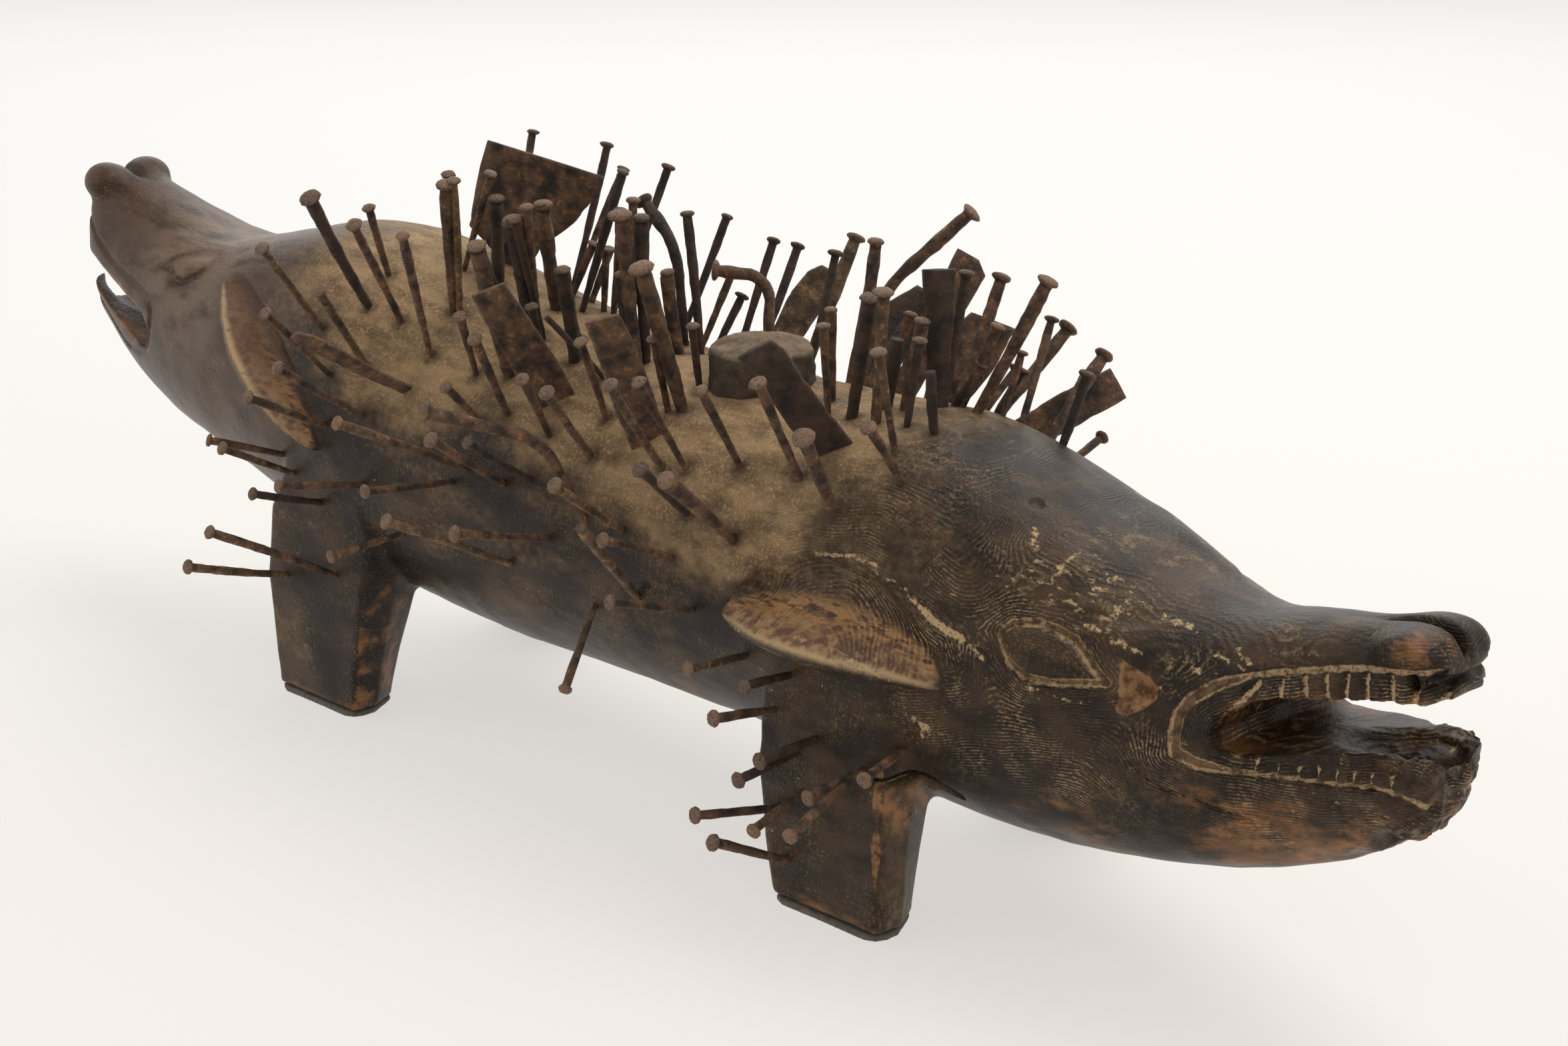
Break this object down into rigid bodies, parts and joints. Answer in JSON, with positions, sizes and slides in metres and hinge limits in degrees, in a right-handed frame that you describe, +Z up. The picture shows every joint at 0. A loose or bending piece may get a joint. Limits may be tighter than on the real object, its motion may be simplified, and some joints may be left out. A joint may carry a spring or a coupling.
{
  "type": "two-headed power figure",
  "caption": "Standing two-headed animal power figure carved in dark wood, with a round medicine pack on its back and iron nails, spikes and blades driven in.",
  "frame": {"origin": "on the floor under the middle of the bounding box", "axes": "+X from the far head to the near head, +Z up, -Y the side that the picture shows"},
  "size_m": [0.8588, 0.2602, 0.2729],
  "materials": {
    "carved_wood": "dark hand-rubbed wood with fine tool lines and pale earth rubbed into them",
    "rusty_iron": "dark brown rust, forged and pitted",
    "resin": "dry earth and resin, dark side and sandy top",
    "felt": "grey felt pad"
  },
  "bodies": {
    "root": {"nail_01": "rusty_iron", "nail_02": "rusty_iron", "nail_03": "rusty_iron", "nail_04": "rusty_iron", "nail_05": "rusty_iron", "nail_06": "rusty_iron", "nail_07": "rusty_iron", "nail_08": "rusty_iron", "nail_09": "rusty_iron", "nail_10": "rusty_iron", "nail_11": "rusty_iron", "nail_12": "rusty_iron", "nail_13": "rusty_iron", "nail_14": "rusty_iron", "nail_15": "rusty_iron", "nail_16": "rusty_iron", "nail_17": "rusty_iron", "nail_18": "rusty_iron", "nail_19": "rusty_iron", "nail_20": "rusty_iron", "nail_21": "rusty_iron", "spike_01": "rusty_iron", "spike_02": "rusty_iron", "spike_03": "rusty_iron", "spike_04": "rusty_iron", "spike_05": "rusty_iron", "spike_06": "rusty_iron", "spike_07": "rusty_iron", "spike_08": "rusty_iron", "spike_09": "rusty_iron", "spike_10": "rusty_iron", "spike_11": "rusty_iron", "spike_12": "rusty_iron", "spike_13": "rusty_iron", "spike_14": "rusty_iron", "leg_nail_01": "rusty_iron", "leg_nail_02": "rusty_iron", "leg_nail_03": "rusty_iron", "leg_spike_01": "rusty_iron", "bent_spike_01": "rusty_iron", "bent_spike_02": "rusty_iron", "bent_spike_03": "rusty_iron", "bent_spike_04": "rusty_iron", "headless_spike": "rusty_iron", "wide_plate": "rusty_iron", "leaning_plate_1": "rusty_iron", "leaning_plate_2": "rusty_iron", "folded_plate": "rusty_iron", "ridged_blade": "rusty_iron", "short_plate": "rusty_iron", "crown_blade": "rusty_iron", "tan_blade": "rusty_iron", "leaf_blade": "rusty_iron", "slant_plate": "rusty_iron", "medicine_pack": "resin", "felt_near_front": "felt", "felt_near_back": "felt", "felt_far_front": "felt", "felt_far_back": "felt", "carved_figure": "carved_wood"}
  },
  "joints": []
}
